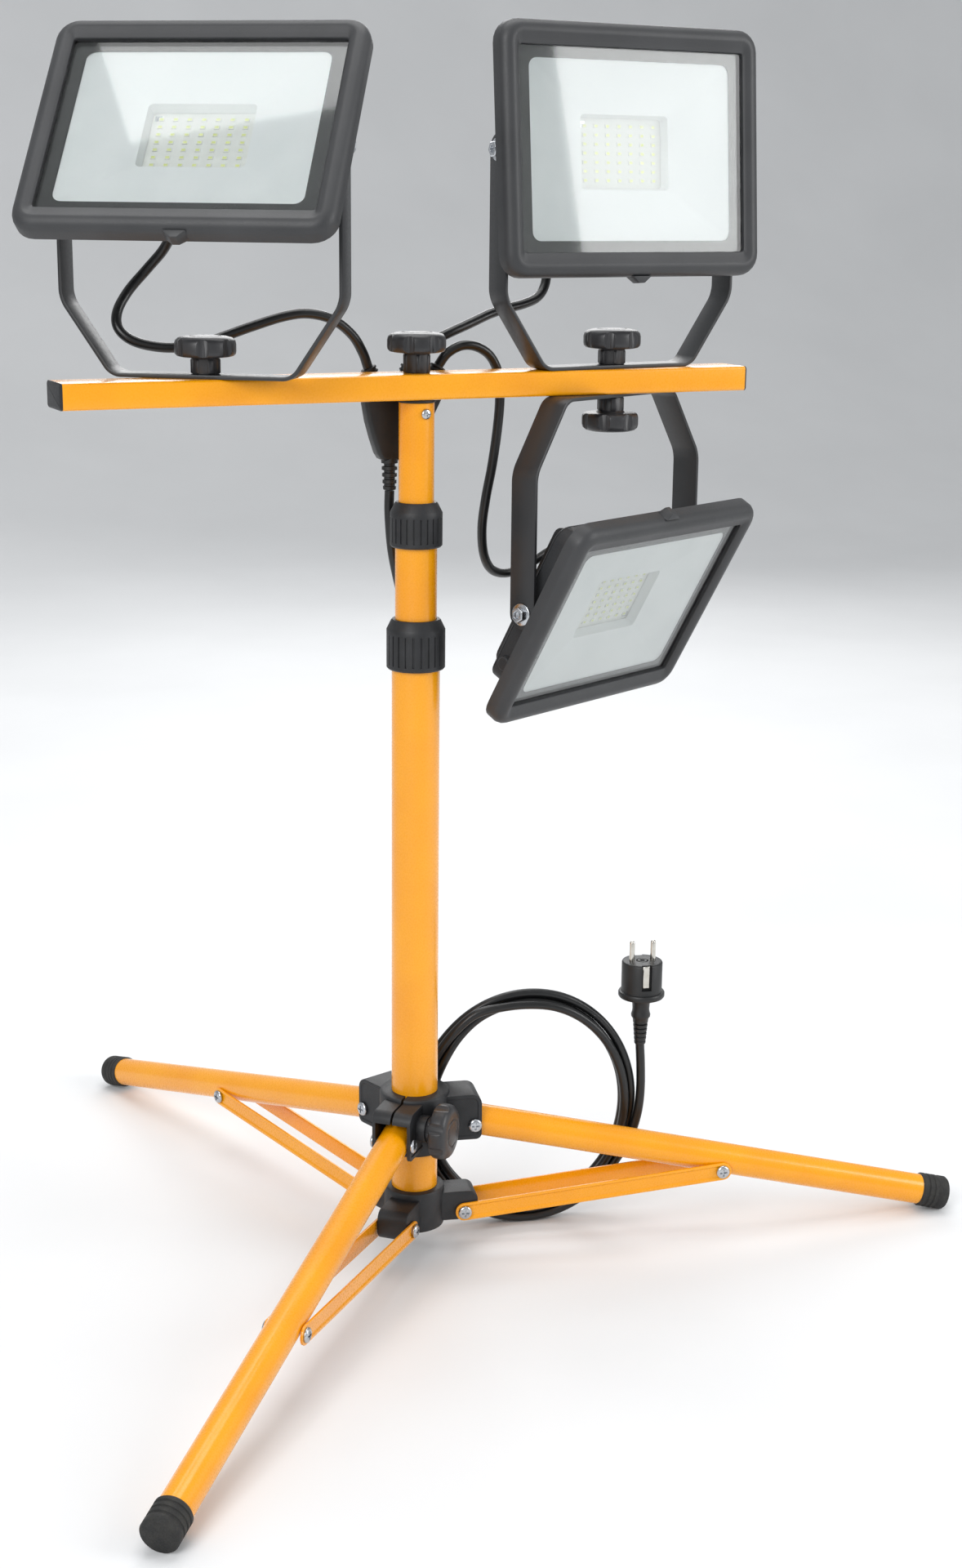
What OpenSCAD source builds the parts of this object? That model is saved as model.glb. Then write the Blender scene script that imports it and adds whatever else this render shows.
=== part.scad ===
// Twin-lamp style LED work light with a third lamp under its crossbar, on a folding telescopic tripod.
// Z is up and Z = 0 is the floor. The origin is the centre of the footprint, so the mast stands off it.
// All sizes are in millimetres.

/* [Mast] */
// Height of the crossbar's centre above the floor
bar_z = 746; // [700:1:780]
// Outer diameter of the lower mast tube
outer_d = 39.5; // [38:0.5:42]
// Outer diameter of the middle mast tube
mid_d = 34; // [32:0.5:35]
// Outer diameter of the top mast tube
top_d = 28.5; // [26:0.5:30]
// Wall of all three mast tubes
tube_wall = 1.2; // [1:0.1:1.4]

/* [Crossbar] */
// Half of the crossbar's length, end plugs included
bar_half = 292; // [270:1:320]
// Depth of the crossbar, front to back
bar_depth = 40; // [36:1:40]
// Height of the crossbar
bar_height = 20; // [20:1:22]
// Distance from the mast to each lamp's bolt
lamp_reach = 174; // [170:1:190]

/* [Lamps] */
// Swivel of the left lamp about its knob, degrees
left_yaw = -36; // [-60:1:20]
// Lean of the left lamp, degrees
left_tilt = 38.5; // [0:0.5:60]
// Swivel of the right lamp, degrees
right_yaw = 6; // [-20:1:60]
// Lean of the right lamp, degrees
right_tilt = 4.5; // [0:0.5:60]
// Swivel of the hanging lamp, degrees
hanging_yaw = 24.5; // [0:0.5:40]
// Lean of the hanging lamp, degrees
hanging_tilt = 29; // [0:0.5:60]
// Width of a lamp's bezel
bezel_w = 244; // [230:1:250]
// Height of a lamp's bezel
bezel_h = 194; // [180:1:200]
// Height of the tilt pivot above the yoke's base
pivot_h = 171; // [165:1:180]

/* [Tripod] */
// Radius from the mast to the outer end of a leg's axis
foot_r = 490; // [440:1:520]
// Direction of the first leg, degrees from +X
leg_turn = -13.8; // [-20:0.1:20]
// Diameter of a leg tube
leg_d = 27; // [25:0.5:27]
// Height of the leg pivots with the tripod open
leg_pivot_z = 119; // [110:1:130]

/* [Cords] */
// Diameter of the lamp leads and of the mains cord
cord_d = 8; // [7:0.5:8]
// Half width of the cord's coil
coil_half = 100; // [96:1:100]

/* [Hidden] */

$fn = 64;
fit = 0.05;          // radial gap of a running fit
eps = 0.01;

// The mast's place over the footprint
mast_x = -65.3;
mast_y = -55.8;

YELLOW = "orange";
BLACK = "#2a2b2c";
RUBBER = "#1c1d1e";
STEEL = "silver";

// Mast levels
bar_top = bar_z + bar_height / 2;
bar_bottom = bar_z - bar_height / 2;
top_tube_top = bar_bottom - 3;
top_tube_bottom = 303;
upper_collar_top = 654;
upper_collar_bottom = 618;
mid_tube_top = 632;
mid_tube_bottom = 182;
lower_collar_top = 559;
lower_collar_bottom = 518;
outer_tube_top = 532;
outer_tube_bottom = 28;

// Threaded studs of the hand knobs, and bolts of the lamps and legs
stud_r = 4;
hole_r = stud_r + fit;
knob_r = 23.5;
knob_stem = 16;
knob_total = 32;

// Lamp, in its own frame: the tilt pivot is at the origin and the light leaves along -Y
face_y = -30;
bezel_back_y = -14;
glass_y = -24.3;
glass_back_y = -20.3;
floor_y = 0;
body_back_y = 12;
fin_back_y = 22;
face_drop = -2;
body_w = 200;
body_h = 150;
gland_x = -32;
gland_z = -20;
gland_end_y = 34;

// Yoke strap
strap_w = 25;
strap_t = 3;
arm_out = 111;
base_half = 72;
bend_h = 57;

// Lamp places: which side of the bar, and whether the lamp hangs
lamp_x = [-lamp_reach, lamp_reach, lamp_reach];
lamp_z = [bar_top, bar_top, bar_bottom];
lamp_yaw = [left_yaw, right_yaw, hanging_yaw];
lamp_tilt = [left_tilt, right_tilt, hanging_tilt];
lamp_flip = [0, 0, 180];
LEFT = 0;
RIGHT = 1;
HANGING = 2;

// Tripod
leg_pivot_r = 50;
foot_axis_z = 13.5;
leg_r = leg_d / 2;
leg_drop = atan2(leg_pivot_z - foot_axis_z, foot_r - leg_pivot_r);
leg_length = norm([foot_r - leg_pivot_r, leg_pivot_z - foot_axis_z]);
leg_heel = 12;
cheek_in = 14.2;
cheek_out = 17;
brace_pivot_r = 42;
brace_pivot_z = 38;
brace_in = 14.3;
brace_t = 2;
brace_w = 16;
brace_reach = 232;
brace_under = 7;
brace_end_r = leg_pivot_r + brace_reach * cos(leg_drop) - brace_under * sin(leg_drop);
brace_end_z = leg_pivot_z - brace_reach * sin(leg_drop) - brace_under * cos(leg_drop);
brace_rise = atan2(brace_end_z - brace_pivot_z, brace_end_r - brace_pivot_r);
brace_length = norm([brace_end_r - brace_pivot_r, brace_end_z - brace_pivot_z]);
clamp_r = 29;
clamp_z = 127;
clamp_seat = 24;

// Coil of mains cord: an upright ring behind the first leg, parallel to it
coil_along = 108;
coil_behind = 40;
coil_tall = 109;
coil_band = 17;

// Routes of the free cords, from the lamp to the splitter and from the splitter to the plug
left_route = [[-191.3, 30.7, 889.8], [-184, 41, 880], [-180, 54, 866], [-184, 66, 850], [-196, 74, 834],
    [-211, 74, 818], [-222, 68, 803], [-224, 61, 791], [-216, 55, 782], [-200, 51, 777], [-180, 47, 776],
    [-155, 42, 781], [-125, 38, 791], [-98, 35, 799], [-78, 33, 801], [-58, 32, 796], [-42, 32, 784],
    [-33, 32, 770], [-28.6, 32, 758.4]];
right_route = [[138.7, 29.4, 904.3], [137, 43, 903], [137, 56, 898], [139, 68, 887], [144, 76, 871],
    [149, 77, 853], [150, 74, 835], [146, 69, 820], [136, 63, 810], [120, 57, 805], [102, 51, 802],
    [84, 45, 798], [64, 40, 791], [44, 36, 784], [26, 33, 777], [13, 32, 769], [6.8, 32, 759.3]];
hanging_route = [[32.6, 32, 758.4], [40, 31, 768], [52, 30, 774], [66, 31, 773], [79, 32, 765],
    [87, 33, 750], [89, 34, 730], [88, 36, 705], [85, 39, 675], [82, 44, 648], [82, 51, 622],
    [88, 60, 598], [101, 71, 582], [120, 79, 577], [141, 81, 583], [160, 76, 595], [174, 66, 605],
    [184, 54, 609], [190.5, 42, 605.5], [194.6, 32, 599.3]];
mains_route = [[-10, 32, 659.4], [-10, 32.5, 640], [-7, 33.5, 610], [0, 35, 580], [8, 35, 550],
    [15, 33, 520], [19, 30, 490], [20, 29, 460], [20.5, 31, 430], [21.5, 35, 400], [22, 38.5, 370],
    [22, 40, 340], [22, 40, 270], [22, 40, 200], [22, 40, 150], [22, 40, 118]];
plug_route = [[181.5, 38], [190, 50], [198, 64], [204.5, 80], [209, 98], [211, 118], [211, 140], [210, 162]];

// ---------------------------------------------------------------- helpers

function unit(v) = v / norm(v);
function heading(p, i) = unit(p[min(i + 1, len(p) - 1)] - p[max(i - 1, 0)]);
function side_of(p, i) =
    i == 0 ? unit(cross(heading(p, 0), [0.31, 0.17, 0.94]))
    : let (last = side_of(p, i - 1), t = heading(p, i)) unit(last - (last * t) * t);

// One smooth tube along a list of points
module cord_along(p, r = cord_d / 2, sides = 8) {
    rings = [for (i = [0 : len(p) - 1])
        let (s = side_of(p, i), b = cross(heading(p, i), s))
        for (k = [0 : sides - 1]) p[i] + r * (cos(360 * k / sides) * s + sin(360 * k / sides) * b)];
    walls = [for (i = [0 : len(p) - 2], k = [0 : sides - 1])
        [i * sides + k, (i + 1) * sides + k, (i + 1) * sides + (k + 1) % sides, i * sides + (k + 1) % sides]];
    start_cap = [for (k = [0 : sides - 1]) k];
    end_cap = [for (k = [0 : sides - 1]) len(p) * sides - 1 - k];
    polyhedron(points = rings, faces = concat([start_cap], walls, [end_cap]));
}

module on_mast() {
    translate([mast_x, mast_y, 0]) children();
}

// Frame of one lamp's yoke: the origin is on the bar's face under the knob
module on_bar(k) {
    on_mast() translate([lamp_x[k], 0, lamp_z[k]])
        rotate([0, 0, lamp_yaw[k]])
        rotate([0, lamp_flip[k], 0])
        children();
}

// Frame of one lamp: the origin is on the tilt axis
module on_yoke(k) {
    on_bar(k) translate([0, 0, pivot_h]) rotate([-lamp_tilt[k], 0, 0]) children();
}

// Vertical plane of one leg: X points outwards along the floor
module on_leg(k) {
    on_mast() rotate([0, 0, leg_turn + 120 * k]) children();
}

module rounded(w, h, r) {
    offset(r = r, $fn = 32) square([w - 2 * r, h - 2 * r], center = true);
}

// A plate with rounded corners that faces -Y, from y0 back to y1
module plate(w, h, r, y0, y1, z = face_drop) {
    translate([0, y1, z]) rotate([90, 0, 0]) linear_extrude(y1 - y0) rounded(w, h, r);
}

module rod_x(r, x0, x1) {
    translate([x0, 0, 0]) rotate([0, 90, 0]) cylinder(r = r, h = x1 - x0);
}

module rod_y(r, y0, y1) {
    translate([0, y0, 0]) rotate([-90, 0, 0]) cylinder(r = r, h = y1 - y0);
}

module pipe(outer_r, inner_r, z0, z1) {
    translate([0, 0, z0]) difference() {
        cylinder(r = outer_r, h = z1 - z0);
        translate([0, 0, -1]) cylinder(r = inner_r, h = z1 - z0 + 2);
    }
}

// ---------------------------------------------------------------- lamp

module housing() {
    fins = 15;
    fin_pitch = 12;
    color(BLACK) difference() {
        union() {
            plate(232, 182, 14, glass_back_y + 0.3, bezel_back_y);
            plate(body_w, body_h, 12, bezel_back_y - 1, body_back_y);
            for (i = [0 : fins - 1])
                translate([(i - (fins - 1) / 2) * fin_pitch - 1.25, body_back_y - 1, face_drop - body_h / 2 + 6])
                    cube([2.5, fin_back_y - body_back_y + 1, body_h - 12]);
            for (s = [-1, 1]) {
                rod_x(11, s > 0 ? body_w / 2 - 1 : -107.7, s > 0 ? 107.7 : 1 - body_w / 2);
                translate([0, 0, 52]) rod_x(6, s > 0 ? body_w / 2 - 1 : -104, s > 0 ? 104 : 1 - body_w / 2);
            }
            translate([gland_x, 0, gland_z]) rod_y(15, body_back_y - 1, 14);
        }
        plate(194, 144, 10, -40, floor_y);
        for (s = [-1, 1]) translate([s * 103, 0, 0]) rod_x(hole_r, -5.2, 5.2);
        translate([gland_x, 0, gland_z]) {
            rod_y(6, 5, 16);
            rod_y(15, 14, fin_back_y + 1);
        }
    }
}

module bezel() {
    tab = [[-9, 0], [9, 0], [3, -5], [-3, -5]];
    color(BLACK) {
        difference() {
            union() {
                plate(bezel_w, bezel_h, 18, face_y, bezel_back_y);
                translate([5, bezel_back_y - 1, face_drop - bezel_h / 2 + eps])
                    rotate([90, 0, 0]) linear_extrude(12) polygon(tab);
            }
            plate(213, 156, 8, face_y - 1, bezel_back_y);
            plate(220, 163, 10, glass_y - 0.1, bezel_back_y);
            plate(233, 183, 14.5, glass_back_y + 0.2, bezel_back_y + 1);
        }
    }
}

module glass() {
    color("azure", 0.4) plate(219, 162, 9.5, glass_y, glass_back_y);
}

module frustum(w0, h0, w1, h1, depth) {
    hull() {
        translate([-w0 / 2, -h0 / 2, 0]) cube([w0, h0, eps]);
        translate([-w1 / 2, -h1 / 2, depth - eps]) cube([w1, h1, eps]);
    }
}

// Thin white tray that narrows from the lamp's front to the light source
module reflector() {
    depth = 18;
    color("white") translate([0, -2, face_drop]) rotate([90, 0, 0]) difference() {
        frustum(80, 54, 192, 140, depth);
        translate([0, 0, -eps]) frustum(78, 52, 190, 138, depth + 2 * eps);
    }
}

module led_board() {
    color("ivory") plate(90, 64, 2, -1.6, floor_y);
}

// Cable gland on the housing's back
module gland() {
    color(BLACK) translate([gland_x, 0, gland_z]) {
        rod_y(6, 5.1, 15);
        rotate([-90, 0, 0]) {
            translate([0, 0, 14]) cylinder(r = 10, h = 6, $fn = 6);
            translate([0, 0, 20]) cylinder(r = 8.5, h = 8);
            translate([0, 0, 28]) cylinder(r1 = 8.5, r2 = 5.5, h = gland_end_y - 28);
        }
    }
}

module pivot_bolts() {
    color(STEEL) for (s = [-1, 1]) mirror([s < 0 ? 1 : 0, 0, 0]) {
        rod_x(stud_r, 98, 112);
        rod_x(9, arm_out + 0.1, 112.4);
        rod_x(6.5, 112.4, 117);
    }
}

module yoke() {
    color(BLACK) difference() {
        union() {
            translate([0, strap_w / 2, 0]) rotate([90, 0, 0]) linear_extrude(strap_w) difference() {
                yoke_outline();
                offset(delta = -strap_t) yoke_outline();
                translate([-200, pivot_h]) square([400, 200]);
            }
            for (s = [-1, 1])
                translate([0, 0, pivot_h])
                    rod_x(strap_w / 2, s > 0 ? arm_out - strap_t : -arm_out, s > 0 ? arm_out : strap_t - arm_out);
        }
        translate([0, 0, -1]) cylinder(r = hole_r, h = strap_t + 2);
        translate([0, 0, pivot_h]) rod_x(hole_r, -arm_out - 1, arm_out + 1);
    }
}

module yoke_outline() {
    bend_r = 6;
    offset(r = bend_r, $fn = 32) offset(delta = -bend_r)
        polygon([[-base_half, 0], [base_half, 0], [arm_out, bend_h], [arm_out, pivot_h + 100],
            [-arm_out, pivot_h + 100], [-arm_out, bend_h]]);
}

// Star knob that stands on Z = foot and carries a stud down to Z = -reach
module star_knob(foot, reach, head_z = knob_stem, total = knob_total) {
    lobes = 7;
    color(BLACK) {
        difference() {
            translate([0, 0, head_z]) cylinder(r = knob_r, h = total - head_z);
            for (i = [0 : lobes - 1]) rotate([0, 0, 360 * (i + 0.5) / lobes])
                translate([knob_r + 5, 0, head_z - 1]) cylinder(r = 7, h = total - head_z + 2);
        }
        translate([0, 0, foot]) cylinder(r = 10.5, h = head_z - foot + 1);
    }
    color(STEEL) translate([0, 0, -reach]) cylinder(r = stud_r, h = reach + foot + 4);
}

// ---------------------------------------------------------------- crossbar and mast

module crossbar() {
    wall = 1.5;
    shell = bar_half - 2;
    color(YELLOW) on_mast() difference() {
        translate([-shell, 0, bar_z]) rotate([90, 0, 90]) linear_extrude(2 * shell)
            rounded(bar_depth, bar_height, 2.5);
        translate([-shell - 1, 0, bar_z]) rotate([90, 0, 90]) linear_extrude(2 * shell + 2)
            rounded(bar_depth - 2 * wall, bar_height - 2 * wall, 1.5);
        for (x = [-lamp_reach, 0, lamp_reach])
            translate([x, 0, bar_bottom - 1]) cylinder(r = hole_r, h = bar_height + 2);
    }
}

module bar_caps() {
    shell = bar_half - 2;
    color(BLACK) on_mast() for (s = [-1, 1]) translate([s * shell, 0, bar_z]) {
        mirror([s < 0 ? 1 : 0, 0, 0]) {
            rotate([90, 0, 90]) linear_extrude(2) rounded(bar_depth, bar_height, 2.5);
            translate([-15, 0, 0]) rotate([90, 0, 90]) linear_extrude(16)
                rounded(bar_depth - 3.1, bar_height - 3.1, 1.4);
        }
    }
}

// Nuts that hold the lamps' studs inside the bar
module bar_nuts() {
    nut_h = 6.5;
    wall = 1.5;
    nut_z = [bar_top - wall - nut_h, bar_top - wall - nut_h, bar_bottom + wall];
    color(STEEL) on_mast() for (k = [LEFT, RIGHT, HANGING]) translate([lamp_x[k], 0, nut_z[k]]) difference() {
        cylinder(r = 7.5, h = nut_h, $fn = 6);
        translate([0, 0, -1]) cylinder(r = hole_r, h = nut_h + 2);
    }
}

module centre_knob() {
    on_mast() translate([0, 0, bar_top]) star_knob(0, 58);
}

// Moulded three-way splitter behind the bar
module splitter() {
    body = [[-33, 749], [37, 749], [33, 730], [12, 692], [4, 684], [-19, 684], [-23, 690], [-33, 728]];
    thick = 14;
    back_y = 39;
    outlets = [[-22, 746, -28], [2, 746, 20], [26, 746, 28]];
    color(BLACK) on_mast() {
        translate([0, back_y, 0]) rotate([90, 0, 0]) linear_extrude(thick)
            offset(r = 3, $fn = 24) offset(delta = -3) polygon(body);
        for (o = outlets) translate([o[0], back_y - thick / 2, o[1]]) rotate([0, o[2], 0])
            translate([0, 0, -2]) cylinder(r1 = 6.8, r2 = 6, h = 16);
        translate([-10, back_y - thick / 2, 660]) cylinder(r1 = 5, r2 = 6.8, h = 26);
    }
}

module mast_cap() {
    nut_hole = 76;
    color(BLACK) on_mast() difference() {
        union() {
            translate([0, 0, top_tube_top]) cylinder(r = top_d / 2 + 1, h = 3);
            translate([0, 0, 690]) cylinder(r = top_d / 2 - tube_wall - 0.02, h = top_tube_top - 690);
        }
        translate([0, 0, bar_bottom - nut_hole]) cylinder(r = hole_r, h = nut_hole + 1);
    }
}

module top_tube() {
    color(YELLOW) on_mast() pipe(top_d / 2, top_d / 2 - tube_wall, top_tube_bottom, top_tube_top);
}

module upper_collar() {
    color(BLACK) on_mast() rotate_extrude() polygon([
        [mid_d / 2 + fit, upper_collar_bottom], [20.2, upper_collar_bottom], [21.2, upper_collar_bottom + 2],
        [21.2, upper_collar_top - 8], [16.5, upper_collar_top], [top_d / 2 + fit, upper_collar_top],
        [top_d / 2 + fit, mid_tube_top + 1], [mid_d / 2 + fit, mid_tube_top + 1]]);
}

module mid_tube() {
    color(YELLOW) on_mast() pipe(mid_d / 2, mid_d / 2 - tube_wall, mid_tube_bottom, mid_tube_top);
}

module mid_tube_bush() {
    color(BLACK) on_mast() pipe(mid_d / 2 - tube_wall - 0.02, top_d / 2 + fit, mid_tube_top - 30, mid_tube_top);
}

module lower_collar() {
    color(BLACK) on_mast() rotate_extrude() polygon([
        [outer_d / 2 + fit, lower_collar_bottom], [22.8, lower_collar_bottom], [24, lower_collar_bottom + 2],
        [24, lower_collar_top - 8], [19.5, lower_collar_top], [mid_d / 2 + fit, lower_collar_top],
        [mid_d / 2 + fit, outer_tube_top + 1], [outer_d / 2 + fit, outer_tube_top + 1]]);
}

module outer_tube() {
    color(YELLOW) on_mast() pipe(outer_d / 2, outer_d / 2 - tube_wall, outer_tube_bottom, outer_tube_top);
}

module outer_tube_bush() {
    color(BLACK) on_mast()
        pipe(outer_d / 2 - tube_wall - 0.02, mid_d / 2 + fit, outer_tube_top - 30, outer_tube_top);
}

// ---------------------------------------------------------------- tripod

// Sliding hub: it clamps on the lower mast tube and carries the three legs
module leg_hub() {
    color(BLACK) on_mast() difference() {
        union() {
            translate([0, 0, 98]) cylinder(r = 30, h = 52);
            for (k = [0 : 2]) rotate([0, 0, leg_turn + 120 * k])
                translate([20, -cheek_out, 106]) cube([36, 2 * cheek_out, 41]);
            rotate([0, 0, leg_turn - 120]) translate([clamp_r, 0, clamp_z]) rod_y(11.5, 15, clamp_seat);
        }
        translate([0, 0, 97]) cylinder(r = outer_d / 2 + 0.1, h = 54);
        for (k = [0 : 2]) rotate([0, 0, leg_turn + 120 * k]) {
            translate([30.5, -cheek_in, 97]) cube([40, 2 * cheek_in, 41]);
            translate([leg_pivot_r, 0, leg_pivot_z]) rod_y(hole_r, -20, 20);
        }
        rotate([0, 0, leg_turn - 120]) {
            translate([15, -1, 97]) cube([50, 2, 54]);
            translate([clamp_r, 0, clamp_z]) rod_y(hole_r, -20, clamp_seat + 1);
        }
    }
}

// Star knob of the hub's clamp, across the split of the front lug
module hub_knob() {
    on_mast() rotate([0, 0, leg_turn - 120]) translate([clamp_r, 0, clamp_z]) rotate([-90, 0, 0])
        star_knob(clamp_seat + 0.05, 15, 30, 46);
}

module cross_pin(r_out, head_in) {
    rod_y(stud_r, -head_in - 1, head_in + 1);
    for (s = [-1, 1]) rod_y(r_out, s > 0 ? head_in : -head_in - 3, s > 0 ? head_in + 3 : -head_in);
}

module leg_pins() {
    color(STEEL) for (k = [0 : 2]) on_leg(k) translate([leg_pivot_r, 0, leg_pivot_z])
        cross_pin(6, cheek_out + 0.05);
}

module base_hub() {
    color(BLACK) on_mast() difference() {
        union() {
            translate([0, 0, 25]) cylinder(r = 26, h = 37);
            for (k = [0 : 2]) rotate([0, 0, leg_turn + 120 * k])
                translate([16, -13.5, 30]) cube([38, 27, 26]);
        }
        translate([0, 0, outer_tube_bottom]) cylinder(r = outer_d / 2 + 0.02, h = 40);
        for (k = [0 : 2]) rotate([0, 0, leg_turn + 120 * k])
            translate([brace_pivot_r, 0, brace_pivot_z]) rod_y(hole_r, -20, 20);
    }
}

module brace_pins() {
    color(STEEL) for (k = [0 : 2]) on_leg(k) translate([brace_pivot_r, 0, brace_pivot_z])
        cross_pin(6, brace_in + brace_t + 0.1);
}

module leg(k) {
    cap_start = leg_length - 26;
    color(YELLOW) on_leg(k) translate([leg_pivot_r, 0, leg_pivot_z]) rotate([0, leg_drop, 0]) difference() {
        rod_x(leg_r, -leg_heel, cap_start + 18);
        rod_x(leg_r - 1.5, -leg_heel - 1, cap_start + 20);
        rod_y(hole_r, -20, 20);
    }
}

// Foot cap, worn flat where it stands
module foot(k) {
    cap_start = leg_length - 26;
    color(RUBBER) on_leg(k) difference() {
        translate([leg_pivot_r, 0, leg_pivot_z]) rotate([0, leg_drop, 0]) difference() {
            rod_x(leg_r + 1.5, cap_start, leg_length);
            rod_x(leg_r + 0.02, cap_start - 1, cap_start + 18.1);
        }
        translate([0, -50, -20]) cube([foot_r + 50, 100, 20]);
    }
}

// A pair of straps with the stub bolts of the leg end
module brace(k) {
    on_leg(k) translate([brace_pivot_r, 0, brace_pivot_z]) rotate([0, -brace_rise, 0]) for (s = [-1, 1]) {
        y0 = s > 0 ? brace_in : -brace_in - brace_t;
        color(YELLOW) difference() {
            union() {
                translate([0, y0, -brace_w / 2]) cube([brace_length, brace_t, brace_w]);
                rod_y(brace_w / 2, y0, y0 + brace_t);
                translate([brace_length, 0, 0]) rod_y(brace_w / 2, y0, y0 + brace_t);
            }
            rod_y(hole_r, y0 - 1, y0 + brace_t + 1);
        }
        color(STEEL) translate([brace_length, 0, 0])
            rod_y(6, s > 0 ? y0 + brace_t - eps : y0 - 3, s > 0 ? y0 + brace_t + 3 : y0 + eps);
    }
}

// ---------------------------------------------------------------- mains cord

// Frame of the coil: X along the first leg, Y behind it
module on_coil() {
    on_mast() rotate([0, 0, leg_turn]) translate([0, coil_behind, 0]) children();
}

module mains_cord() {
    color(RUBBER) {
        on_mast() cord_along(mains_route);
        on_coil() cord_along([for (p = plug_route) [p[0], 0, p[1]]]);
    }
}

module coil_section() {
    offset(r = 5, $fn = 24) square(coil_band - 10, center = true);
}

// Two half rings with a short straight between them
module cord_coil() {
    mid_r = coil_half - coil_band / 2;
    straight = coil_tall - coil_half;
    color(RUBBER) on_coil() translate([coil_along, 0, coil_tall]) {
        for (s = [0, 180]) rotate([0, s, 0]) translate([0, 0, straight]) intersection() {
            rotate([90, 0, 0]) rotate_extrude() translate([mid_r, 0]) coil_section();
            translate([-coil_half - 5, -coil_band, 0]) cube([2 * coil_half + 10, 2 * coil_band, coil_half + 5]);
        }
        for (s = [-1, 1]) translate([s * mid_r, 0, -straight]) linear_extrude(2 * straight) coil_section();
    }
}

// Earthed mains plug, pins up, with its slotted strain relief
module plug() {
    relief_z = 162;
    body_z = 212;
    color(BLACK) on_coil() translate([210, 0, 0]) {
        rotate_extrude() polygon([[0, relief_z], [4.6, relief_z], [6.6, relief_z + 20], [6.8, relief_z + 23],
            [8.5, relief_z + 26], [7.6, relief_z + 32], [8.6, body_z - 8], [20.5, body_z - 5],
            [20.5, body_z], [18, body_z + 1.5], [18, body_z + 28], [0, body_z + 28]]);
    }
    color(STEEL) on_coil() for (s = [-1, 1]) translate([210 + 9.5 * s, 0, body_z + 20]) {
        cylinder(r = 2.4, h = 24);
        translate([0, 0, 24]) sphere(r = 2.4);
    }
}

// ---------------------------------------------------------------- the parts

on_yoke(LEFT) housing();  // left_housing
on_yoke(LEFT) bezel();  // left_bezel
on_yoke(LEFT) glass();  // left_glass
on_yoke(LEFT) reflector();  // left_reflector
on_yoke(LEFT) led_board();  // left_led_board
on_yoke(LEFT) gland();  // left_gland
on_yoke(LEFT) pivot_bolts();  // left_pivot_bolts
on_bar(LEFT) yoke();  // left_yoke
on_bar(LEFT) star_knob(strap_t + 0.05, 11);  // left_knob
color(RUBBER) on_mast() cord_along(left_route);  // left_lead
on_yoke(RIGHT) housing();  // right_housing
on_yoke(RIGHT) bezel();  // right_bezel
on_yoke(RIGHT) glass();  // right_glass
on_yoke(RIGHT) reflector();  // right_reflector
on_yoke(RIGHT) led_board();  // right_led_board
on_yoke(RIGHT) gland();  // right_gland
on_yoke(RIGHT) pivot_bolts();  // right_pivot_bolts
on_bar(RIGHT) yoke();  // right_yoke
on_bar(RIGHT) star_knob(strap_t + 0.05, 8);  // right_knob
color(RUBBER) on_mast() cord_along(right_route);  // right_lead
on_yoke(HANGING) housing();  // hanging_housing
on_yoke(HANGING) bezel();  // hanging_bezel
on_yoke(HANGING) glass();  // hanging_glass
on_yoke(HANGING) reflector();  // hanging_reflector
on_yoke(HANGING) led_board();  // hanging_led_board
on_yoke(HANGING) gland();  // hanging_gland
on_yoke(HANGING) pivot_bolts();  // hanging_pivot_bolts
on_bar(HANGING) yoke();  // hanging_yoke
on_bar(HANGING) star_knob(strap_t + 0.05, 8);  // hanging_knob
color(RUBBER) on_mast() cord_along(hanging_route);  // hanging_lead
crossbar();
bar_caps();
bar_nuts();
centre_knob();
splitter();
mast_cap();
top_tube();
upper_collar();
mid_tube();
mid_tube_bush();
lower_collar();
outer_tube();
outer_tube_bush();
leg_hub();
hub_knob();
leg_pins();
base_hub();
brace_pins();
leg(0);  // leg_a
leg(1);  // leg_b
leg(2);  // leg_c
foot(0);  // foot_a
foot(1);  // foot_b
foot(2);  // foot_c
brace(0);  // brace_a
brace(1);  // brace_b
brace(2);  // brace_c
mains_cord();
cord_coil();
plug();
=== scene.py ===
"""Tripod work light: three flat LED lamps on a crossbar, on a telescopic mast with folding legs.

Pieces are modelled in millimetres and brought to metres as they are put in place.
"""

import math

import bpy
from mathutils import Matrix, Vector


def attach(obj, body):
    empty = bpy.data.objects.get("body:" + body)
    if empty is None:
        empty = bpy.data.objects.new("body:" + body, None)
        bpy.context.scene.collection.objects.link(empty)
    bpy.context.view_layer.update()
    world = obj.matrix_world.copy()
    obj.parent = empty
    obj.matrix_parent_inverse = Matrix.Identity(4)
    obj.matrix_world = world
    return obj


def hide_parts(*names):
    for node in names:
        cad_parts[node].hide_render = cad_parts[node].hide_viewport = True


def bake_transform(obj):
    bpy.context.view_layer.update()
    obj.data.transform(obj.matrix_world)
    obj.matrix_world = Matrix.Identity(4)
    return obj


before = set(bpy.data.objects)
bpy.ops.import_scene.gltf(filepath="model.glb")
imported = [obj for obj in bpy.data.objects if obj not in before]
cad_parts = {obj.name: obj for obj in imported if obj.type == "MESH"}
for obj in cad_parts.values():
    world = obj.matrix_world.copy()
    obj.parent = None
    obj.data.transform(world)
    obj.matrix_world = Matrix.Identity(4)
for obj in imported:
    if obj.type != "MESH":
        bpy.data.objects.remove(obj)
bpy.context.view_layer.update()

MM = 0.001

# ---------------------------------------------------------------- camera


def turn(degrees, axis):
    return Matrix.Rotation(math.radians(degrees), 4, axis)


def shift(x, y, z):
    return Matrix.Translation((x, y, z))


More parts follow.
